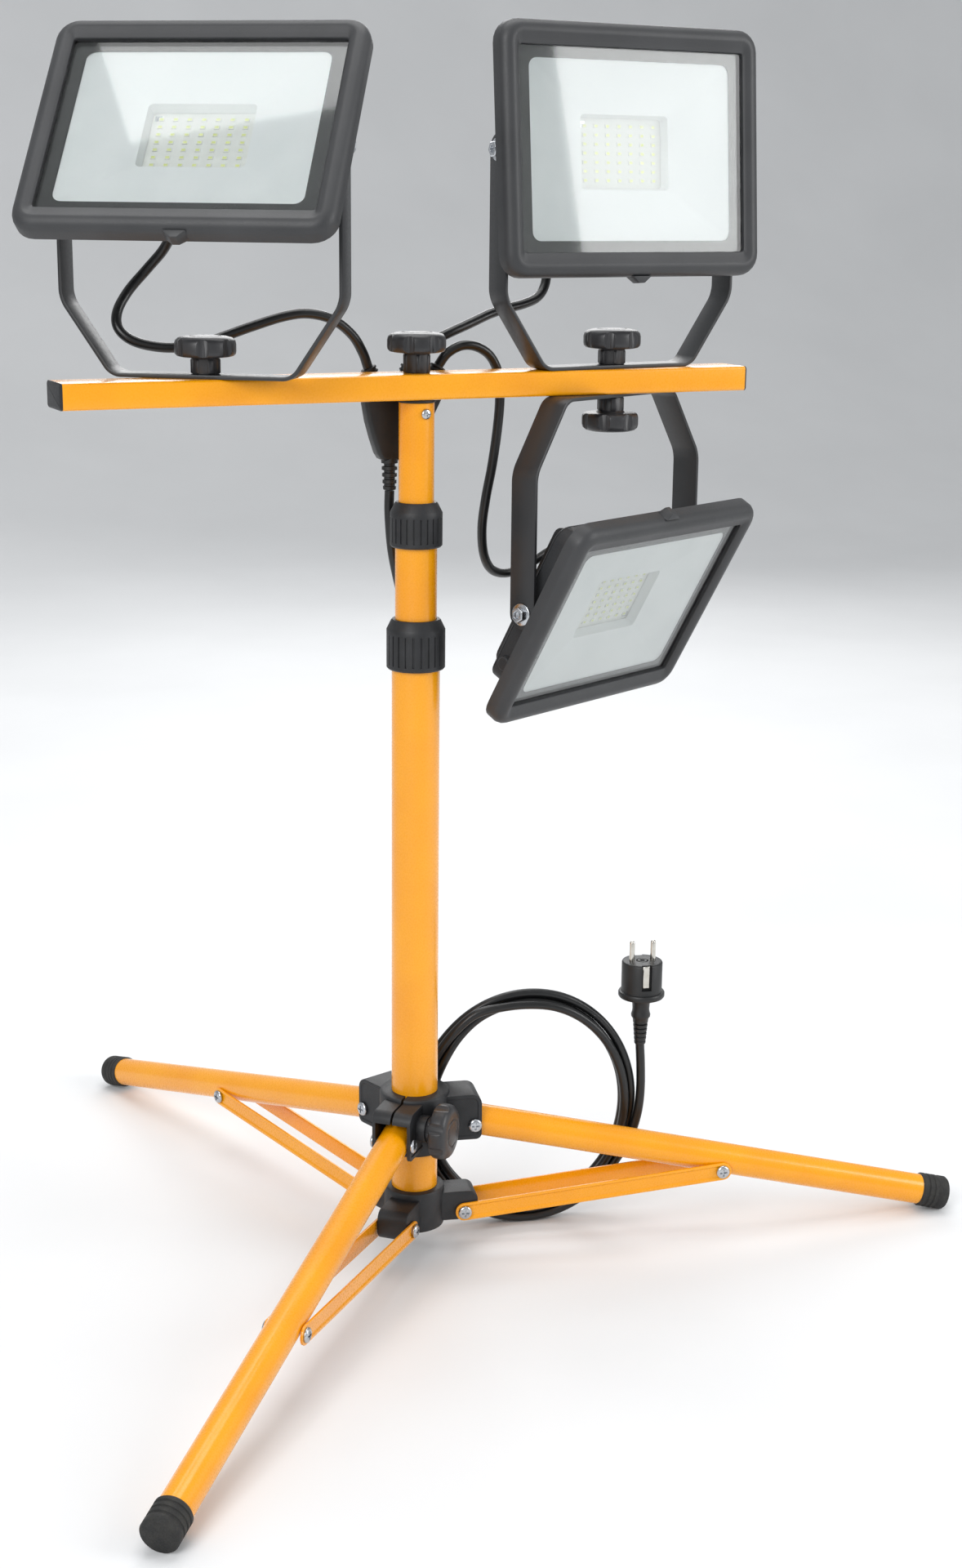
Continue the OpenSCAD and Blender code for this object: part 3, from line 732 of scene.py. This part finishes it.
def lamp_screws():
    """Four screws that draw the frame to the housing, from behind."""
    screw = cross_screw(3.4, 2.2)
    screws = []
    for x in (-103.6, 103.6):
        for z in (-86, 82):
            screws.append(moved(copy_of(screw), shift(x, -13.8, z) @ turn(-90, "X")))
    bpy.data.objects.remove(screw)
    return gather(*screws)


def lamp_gland():
    nut = turned([(9.6, 14), (10, 14.4), (10, 19.4), (9.2, 20)], 6)
    dome = turned(
        [
            (8.5, 19.9), (8.5, 26.5), (8.1, 28), (6.6, 30), (5.6, 31.6), (5.4, 32.2), (6.0, 32.8),
            (5.3, 33.4),
            (4.6, 34),
        ],
        40,
    )  # fmt: skip
    pick(
        dome,
        lambda place, way: abs(way.z) < 0.1
        and 20 < place.z < 26
        and math.degrees(math.atan2(place.y, place.x)) % 36 < 12,
    )
    bpy.ops.mesh.inset(thickness=0.2, depth=-0.5)
    gland = gather(soften(nut, 0.4, 2), take(dome))
    return smooth(coat(moved(gland, shift(-32, 0, -20) @ turn(-90, "X")), NYLON))


def pivot_bolts():
    """Each side: a washer on the yoke's arm and a hexagon bolt with a socket."""
    ends = []
    for hand in (-1, 1):
        washer = turned(
            [(4.2, 111.05), (8.7, 111.06), (9, 111.4), (9, 112.1), (8.6, 112.4), (4.2, 112.41)], 40
        )
        head = turned([(6.0, 112.4), (6.5, 112.7), (6.5, 116.0), (5.6, 117)], 6)
        pick(head, lambda place, way: way.z > 0.99)
        bpy.ops.mesh.inset(thickness=1.9)
        raise_face((0, 0, -2.4))
        head = soften(take(head), 0.35, 2)
        shank = turned([(4, 98), (4, 112.5)], 24)
        ends.append(moved(gather(washer, head, shank), turn(90 * hand, "Y")))
    return smooth(coat(gather(*ends), ZINC_PLATE))


def yoke_strap():
    """One flat strap bent to a cradle, its arm ends rounded about the pivots."""
    clear_bench()
    bpy.ops.mesh.primitive_plane_add(size=1, location=(0, 0, 1.5))
    strap = bpy.context.object
    strap.scale = (142.4, 25, 1)
    settle(strap)
    for hand in (-1, 1):
        pick(strap, lambda place, way: place.x * hand > 60 and abs(way.y) > 0.9, "EDGE")
        raise_face((38.3 * hand, 0, 56))
        raise_face((0, 0, 126))
    round_edges(strap, lambda place, way: abs(way.y) > 0.9 and abs(place.z - 183.5) > 1, 7, 5)
    pick(strap, lambda place, way: abs(way.y) > 0.9 and place.z > 183, "EDGE")
    bpy.ops.mesh.bevel(offset=12.4, segments=10, affect="VERTICES")
    take(strap)
    apply_modifier(strap, "SOLIDIFY", thickness=3, offset=0, use_even_offset=True)
    soften(strap, 0.5, 2)
    return smooth(coat(strap, STRAP_ENAMEL))


LAMP_PIECES = {
    "lamp_frame": (lamp_frame, "lamp", "black_bezel_coat", ("bezel",)),
    "lamp_casting": (lamp_casting, "lamp", "black_die_casting", ("housing",)),
    "lamp_screws": (lamp_screws, "lamp", "zinc_steel", ()),
    "lamp_window": (lamp_window, "lamp", "lamp_glass", ("glass",)),
    "window_ink": (window_ink, "lamp", "lamp_glass", ()),
    "lamp_tray": (lamp_tray, "lamp", "white_reflector", ("reflector",)),
    "light_board": (light_board, "lamp", "led_board_white", ("led_board",)),
    "lead_gland": (lamp_gland, "lamp", "black_nylon", ("gland",)),
    "tilt_bolts": (pivot_bolts, "lamp", "zinc_steel", ("pivot_bolts",)),
    "yoke_strap": (yoke_strap, "yoke", "black_strap_coat", ("yoke",)),
    "lamp_knob": (lambda: moved(star_knob(12.95, 13), shift(0, 0, 16)), "knob", "knob_plastic", ("knob",)),
}

for label, (make, part, finish_slot, nodes) in LAMP_PIECES.items():
    pattern = make()
    for side, (yoke_place, tilt) in LAMPS.items():
        place = yoke_place @ shift(0, 0, PIVOT_HEIGHT) @ turn(-tilt, "X") if part == "lamp" else yoke_place
        replaced = [f"{side}_{n}" for n in nodes]
        fit(copy_of(pattern), f"{side}_{label}", f"{side}_{part}", place, replaced)
    bpy.data.objects.remove(pattern)

# ---------------------------------------------------------------- crossbar


def bar_tube():
    """Rectangular tube with rolled corners, open at both ends, with a spare hole under its left end."""
    tube = block((-290, -20, 736), (290, 20, 756))
    round_edges(tube, lambda place, way: abs(way.x) > 0.99, 2.5, 4)
    pick(tube, lambda place, way: abs(way.x) > 0.99)
    bpy.ops.mesh.delete(type="FACE")
    take(tube)
    apply_modifier(tube, "SOLIDIFY", thickness=1.5, offset=-1)
    cut(tube, rod(4.05, (-174, 0, 730), (-174, 0, 740)))
    return smooth(coat(tube, YELLOW_COAT), 30)


def bar_plugs():
    """Moulded end plugs with a crowned face."""
    plugs = []
    for hand in (-1, 1):
        plug = block((276, -18.4, 737.6), (290, 18.4, 754.4))
        lid = block((290, -20, 736), (291, 20, 756))
        round_edges(lid, lambda place, way: abs(way.x) > 0.99, 2.6, 4)
        pick(lid, lambda place, way: way.x > 0.99)
        step_in([(0.5, 0.45), (0.8, 0.35), (1.6, 0.2)])
        plug = gather(take(lid), soften(plug, 0.6, 1))
        plugs.append(moved(plug, turn(0 if hand > 0 else 180, "Z")))
    return smooth(coat(gather(*plugs), NYLON))


def splitter_body():
    """Moulded junction: a flat funnel with three stubby outlets up and a ribbed relief down."""
    outline = [
        (-30.5, 748.2), (-15, 749), (20, 749), (34.5, 748.2), (36.4, 745), (33.2, 731), (27, 719), (19, 705),
        (12.5, 693), (8, 686.5), (3, 684), (-16, 684), (-19.5, 685.6), (-22.4, 690), (-26.5, 702),
        (-30.5, 716),
        (-33, 730), (-33, 744.6),
    ]  # fmt: skip
    clear_bench()
    bpy.ops.mesh.primitive_circle_add(
        vertices=len(outline), radius=10, fill_type="NGON", rotation=(math.pi / 2, 0, 0)
    )
    body = settle(bpy.context.object)
    for corner, (x, z) in zip(body.data.vertices, outline):
        corner.co = (x, 25, z)
    pick(body, lambda place, way: True)
    raise_face((0, 14, 0))
    bpy.ops.mesh.select_all(action="SELECT")
    bpy.ops.mesh.normals_make_consistent(inside=False)
    soften(take(body), 3.2, 4, 60)
    parts = [body]
    for x, z, lean in ((-22, 746, -28), (2, 746, 20), (26, 746, 28)):
        rings = [(7.4, -5), (7.0, 3)]
        for i in range(3):
            rings += [(5.6, 3.6 + 3.4 * i), (5.6, 4.8 + 3.4 * i), (6.6, 5.4 + 3.4 * i), (6.4, 6.8 + 3.4 * i)]
        parts.append(moved(turned(rings + [(4.4, 14)], 36), shift(x, 32, z) @ turn(lean, "Y")))
    rings = [(4.4, 660), (5.2, 660.6)]
    for i in range(4):
        low = 663 + 5.4 * i
        rings += [(5.4 + 0.3 * i, low), (4.5, low + 0.6), (4.5, low + 2.0), (5.8 + 0.3 * i, low + 2.6)]
    parts.append(moved(turned(rings + [(7.2, 690)], 36), shift(-10, 32, 0)))
    return smooth(coat(gather(*parts), SOFT_PVC))


fit(bar_tube(), "bar_tube", "crossbar", ON_MAST, ["crossbar"])
fit(bar_plugs(), "bar_end_plugs", "crossbar", ON_MAST, ["bar_caps"])
splitter = fit(splitter_body(), "lead_splitter", "crossbar", ON_MAST, ["splitter"])
centre_knob = moved(star_knob(16, 20), shift(0, 0, 16))
fit(centre_knob, "mast_knob", "centre_knob", ON_MAST @ shift(0, 0, BAR_TOP), ["centre_knob"])

# ---------------------------------------------------------------- mast


def grip_collar(low, high, radius, neck, bore_low, step, bore_high):
    """Twist collar: a grooved grip, a sloping shoulder, and a bore with two diameters."""
    collar = turned(
        [
            (radius - 1.2, low), (radius, low + 1.4), (radius, low + 4), (radius, high - 12),
            (radius, high - 8.4),
            (radius - 0.7, high - 7), (neck + 1.0, high - 1.2), (neck, high), (bore_high, high),
            (bore_high, step), (bore_low, step), (bore_low, low),
        ],
        96,
        hollow=True,
    )  # fmt: skip
    pick(
        collar,
        lambda place, way: low + 4 < place.z < high - 12
        and math.hypot(place.x, place.y) > radius - 1
        and int(math.degrees(math.atan2(place.y, place.x)) % 360 / 3.75) % 4 == 0,
    )
    bpy.ops.mesh.inset(thickness=0.3, depth=-0.8)
    return smooth(coat(take(collar), NYLON))


def mast_head():
    """Plug of the top tube, with its flange under the bar."""
    stem = [(12.9, 690), (13, 690.5), (13, 733)]
    flange = [(14.6, 733.1), (15.2, 733.7), (15.2, 735.3), (14.7, 736)]
    return smooth(coat(turned(stem + flange, 64), NYLON))


upper_grip = grip_collar(618, 654, 21.2, 16.5, 17.05, 633, 14.3)
fit(upper_grip, "upper_grip", "upper_collar", ON_MAST, ["upper_collar"])
lower_grip = grip_collar(518, 559, 24, 19.5, 19.8, 533, 17.05)
fit(lower_grip, "lower_grip", "lower_collar", ON_MAST, ["lower_collar"])
fit(mast_head(), "mast_head_cap", "top_section", ON_MAST, ["mast_cap"])
fit(
    cross_screw(4.2, 2.4),
    "mast_head_screw",
    "top_section",
    ON_MAST @ turn(-82, "Z") @ shift(14.1, 0, 724.7) @ turn(90, "Y"),
)

for name, body, radius, low, high in (
    ("top_tube", "top_section", 14.25, 303, 733),
    ("mid_tube", "mid_section", 17, 182, 632),
    ("outer_tube", "stand", 19.75, 28, 532),
):
    bore = radius - 1.2
    outside = [(radius - 0.3, low), (radius, low + 0.3), (radius, high - 0.3), (radius - 0.3, high)]
    tube = turned(outside + [(bore, high), (bore, low)], 96, True)
    fit(smooth(coat(tube, YELLOW_COAT)), f"mast_{name}", body, ON_MAST, [name])

# ---------------------------------------------------------------- tripod


def leg_slider():
    """Moulded hub that clamps on the mast: a barrel with three lugs, each slotted for its leg."""
    hub = turned([(28.4, 98), (30, 99.6), (30, 147.6), (29.2, 149.2), (27.6, 150)], 72)
    for k in range(3):
        lug = block((18, -17, 106), (56, 17, 147))
        round_edges(lug, lambda place, way: abs(way.y) > 0.99 and place.x > 50 and place.z > 140, 9, 6)
        round_edges(lug, lambda place, way: abs(way.y) > 0.99 and place.x > 50 and place.z < 110, 5, 4)
        pick(lug, lambda place, way: abs(way.y) > 0.99)
        step_in([(3.2, 0), (0.5, -0.7)])
        soften(take(lug), 1.3, 3, 30)
        weld(hub, moved(lug, turn(120 * k, "Z")))
    boss = soften(rod(11.5, (CLAMP_R, 15, CLAMP_Z), (CLAMP_R, CLAMP_SEAT, CLAMP_Z), 48), 0.8)
    weld(hub, moved(boss, turn(-120, "Z")))
    for k in range(3):
        cut(hub, moved(block((30.5, -14.2, 97), (70, 14.2, 138)), turn(120 * k, "Z")))
    split = moved(block((15, -1, 97), (60, 1, 151)), turn(-120, "Z"))
    cut(hub, rod(19.85, (0, 0, 90), (0, 0, 160), 96), split)
    return smooth(coat(moved(hub, turn(LEG_TURN, "Z")), NYLON), 30)


def foot_hub():
    """Moulded foot of the mast with a lug for each pair of braces."""
    hub = turned([(23, 25), (25.4, 26.4), (26, 28.4), (26, 60), (25.2, 61.4), (23.8, 62)], 72)
    for k in range(3):
        lug = block((16, -13.5, 30), (54, 13.5, 56))
        round_edges(lug, lambda place, way: abs(way.y) > 0.99 and place.x > 50, 8, 6)
        soften(lug, 1.2, 3, 30)
        weld(hub, moved(lug, turn(120 * k, "Z")))
    cut(hub, rod(19.78, (0, 0, 28), (0, 0, 70), 96))
    return smooth(coat(moved(hub, turn(LEG_TURN, "Z")), NYLON), 30)


def brace_strap(length):
    """Pressed steel strap: rounded ends and a channel embossed down its middle, face to +Y."""
    strap = block((-8, 0, -8), (length + 8, 2, 8))
    round_edges(strap, lambda place, way: abs(way.y) > 0.99, 7.8, 8)
    pick(strap, lambda place, way: way.y > 0.99)
    step_in([(2.2, 0), (1.4, -1.1)])
    soften(take(strap), 0.35, 2)
    return smooth(coat(strap, YELLOW_COAT))


def foot_cap():
    """Ribbed rubber cap on the leg's end, along X of the leg, cut flat where it stands."""
    rings = [(13.6, 0), (14.2, 0.8)]
    for i in range(3):
        rings += [(15, 1.6 + 5.2 * i), (15, 4.4 + 5.2 * i), (14.2, 5.0 + 5.2 * i), (14.2, 6.2 + 5.2 * i)]
    cap = turned(rings + [(15, 18), (15, 24.2), (14.0, 25.6), (12.4, 26)], 56)
    moved(cap, LEG_HUNG @ shift(LEG_LENGTH - 26, 0, 0) @ turn(90, "Y"))
    pick(cap, lambda place, way: True)
    bpy.ops.mesh.bisect(plane_co=(0, 0, 0.05), plane_no=(0, 0, 1), clear_inner=True, use_fill=True)
    return smooth(coat(take(cap), FOOT_RUBBER))


def leg_tube():
    """Round leg, a plain hollow tube."""
    stop = LEG_LENGTH - 8
    tube = turned([(13.2, -12), (13.5, -11.7), (13.5, stop), (12, stop), (12, -12)], 64, True)
    return smooth(coat(moved(tube, turn(90, "Y")), YELLOW_COAT))


fit(leg_slider(), "leg_slider", "leg_hub", ON_MAST, ["leg_hub"])
fit(foot_hub(), "foot_hub", "stand", ON_MAST, ["base_hub"])

clamp_knob = moved(star_knob(CLAMP_HEAD - CLAMP_SEAT - 0.05, 20), turn(-90, "X") @ shift(0, 0, CLAMP_HEAD))
clamp_place = ON_MAST @ turn(LEG_TURN - 120, "Z") @ shift(CLAMP_R, 0, CLAMP_Z)
fit(clamp_knob, "clamp_knob", "hub_knob", clamp_place, ["hub_knob"])

pin_head = cross_screw(6, 3)
pins = {"leg_slider_pins": [], "foot_hub_pins": []}
for k in range(3):
    for name, x, z, reach in (
        ("leg_slider_pins", LEG_PIVOT_R, LEG_PIVOT_Z, 17.0),
        ("foot_hub_pins", BRACE_PIVOT_R, BRACE_PIVOT_Z, 16.4),
    ):
        for hand in (-1, 1):
            head = moved(copy_of(pin_head), turn(-90 * hand, "X"))
            moved(head, turn(LEG_TURN + 120 * k, "Z") @ shift(x, reach * hand, z))
            pins[name].append(head)
        shank = rod(4, (x, -reach, z), (x, reach, z), 24)
        pins[name].append(coat(moved(shank, turn(LEG_TURN + 120 * k, "Z")), ZINC_PLATE))
for name, body, node in (
    ("leg_slider_pins", "leg_hub", "leg_pins"),
    ("foot_hub_pins", "stand", "brace_pins"),
):
    fit(smooth(gather(*pins[name])), name, body, ON_MAST, [node])

strap_pattern, leg_pattern, cap_pattern = brace_strap(BRACE_LENGTH), leg_tube(), foot_cap()
for k, letter in enumerate("abc"):
    outer = moved(copy_of(strap_pattern), shift(0, 14.3, 0))
    inner = moved(copy_of(strap_pattern), turn(180, "X") @ shift(0, 14.3, 0))
    bolts = [
        moved(copy_of(pin_head), shift(BRACE_LENGTH, 16.2 * hand, 0) @ turn(-90 * hand, "X"))
        for hand in (-1, 1)
    ]
    brace_place = on_leg(k) @ shift(BRACE_PIVOT_R, 0, BRACE_PIVOT_Z) @ turn(-BRACE_RISE, "Y")
    pair, brace, leg = gather(outer, inner, *bolts), f"brace_{letter}", f"leg_{letter}"
    fit(pair, f"{brace}_straps", brace, brace_place, [brace])
    leg_place = on_leg(k) @ LEG_HUNG
    fit(copy_of(leg_pattern), f"{leg}_tube", leg, leg_place, [leg])
    fit(copy_of(cap_pattern), f"{leg}_cap", leg, on_leg(k), [f"foot_{letter}"])
for pattern in (pin_head, strap_pattern, leg_pattern, cap_pattern):
    bpy.data.objects.remove(pattern)

# ---------------------------------------------------------------- plug


def mains_plug():
    """Earthed plug, pins up: slotted relief, swelling neck, flange, and a body with side contacts."""
    rings = [(4.3, 162), (5.0, 162.5)]
    for i in range(5):
        low, swell = 164.6 + 4.0 * i, 5.2 + 0.32 * i
        rings += [(swell, low), (4.6, low + 0.4), (4.6, low + 1.5), (swell + 0.2, low + 1.9)]
    rings += [
        (7.0, 186), (8.4, 188), (8.6, 190), (7.8, 192.6), (7.5, 195), (7.8, 200), (9.4, 203.6), (14.5, 205.6),
        (19.6, 206.8), (20.5, 208), (20.5, 211), (19.8, 212), (18.2, 212.4), (18, 213.4),
        (18, 238.6), (17.4, 239.6),
        (16.4, 240),
    ]  # fmt: skip
    body = turned(rings, 64)
    for hand in (-1, 1):
        notch = block((-4.4, 14.2, 217), (4.4, 21, 242))
        cut(body, moved(notch, turn(90 - 90 * hand, "Z")))
    cut(body, rod(5.4, (0, 0, 239), (0, 0, 242), 40))
    boss = turned([(4.6, 236), (4.6, 239.6), (4.2, 240.2), (2.5, 240.2), (2.3, 239.8), (2.3, 236.1)], 32)
    coat(gather(body, boss), SOFT_PVC)
    metal = []
    for hand in (-1, 1):
        pin = turned([(2.4, 236), (2.4, 256.2), (2.1, 257.4), (1.4, 258.2), (0.6, 258.4)], 24)
        metal.append(coat(moved(pin, shift(9.5 * hand, 0, 0)), NICKEL_PLATE))
        strip = block((-3.0, 14.3, 219), (3.0, 15.3, 239))
        pick(strip, lambda place, way: way.y > 0.9)
        step_in([(0.7, 0.25), (0.8, 0)])
        strip = soften(take(strip), 0.2, 1)
        metal.append(coat(moved(strip, turn(90 - 90 * hand, "Z")), NICKEL_PLATE))
    return smooth(gather(body, *metal))


plug_place = on_leg(0) @ shift(210, 40, 0)
plug = fit(mains_plug(), "mains_plug", "stand", plug_place, ["plug"])

# ---------------------------------------------------------------- carried-over solids

for name, finish in {
    "bar_nuts": ZINC_PLATE,
    "mid_tube_bush": NYLON,
    "outer_tube_bush": NYLON,
}.items():
    coat(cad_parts[name], finish)

# ---------------------------------------------------------------- studio

clear_bench()
bpy.ops.mesh.primitive_plane_add(size=1, location=(0, 0, 0))
floor = bpy.context.object
floor.scale = (16, 12, 1)
settle(floor)
pick(floor, lambda place, way: place.y > 5 and abs(way.x) > 0.9, "EDGE")
raise_face((0, 0, 9))
round_edges(floor, lambda place, way: place.y > 5 and place.z < 0.1 and abs(way.x) > 0.9, 3, 12)
smooth(coat(floor, FLOOR_PAINT), 60).name = "studio_floor"


def soft_box(name, place, aim, width, height, watts):
    light = bpy.data.lights.new(name, "AREA")
    light.shape = "RECTANGLE"
    light.size, light.size_y, light.energy = width, height, watts
    lamp = bpy.data.objects.new(name, light)
    bpy.context.collection.objects.link(lamp)
    lamp.location = place
    lamp.rotation_euler = (Vector(aim) - Vector(place)).to_track_quat("-Z", "Y").to_euler()


soft_box("key_box", (-2.6, -2.2, 2.4), (0, 0, 0.5), 1.6, 2.2, 75)
soft_box("fill_box", (2.4, -1.9, 1.6), (0, 0, 0.5), 1.4, 2.0, 42)
soft_box("top_box", (0.2, 0.4, 3.2), (0, 0, 0.4), 2.4, 2.0, 45)
soft_box("back_box", (1.2, 2.6, 1.9), (0, 0, 0.6), 1.8, 1.4, 30)

world = bpy.data.worlds.new("studio_air")
world.use_nodes = True
world.node_tree.nodes["Background"].inputs["Color"].default_value = shade("#F2F4F6")
world.node_tree.nodes["Background"].inputs["Strength"].default_value = 0.55
bpy.context.scene.world = world
bpy.context.scene.view_settings.view_transform = "Standard"

clear_bench()
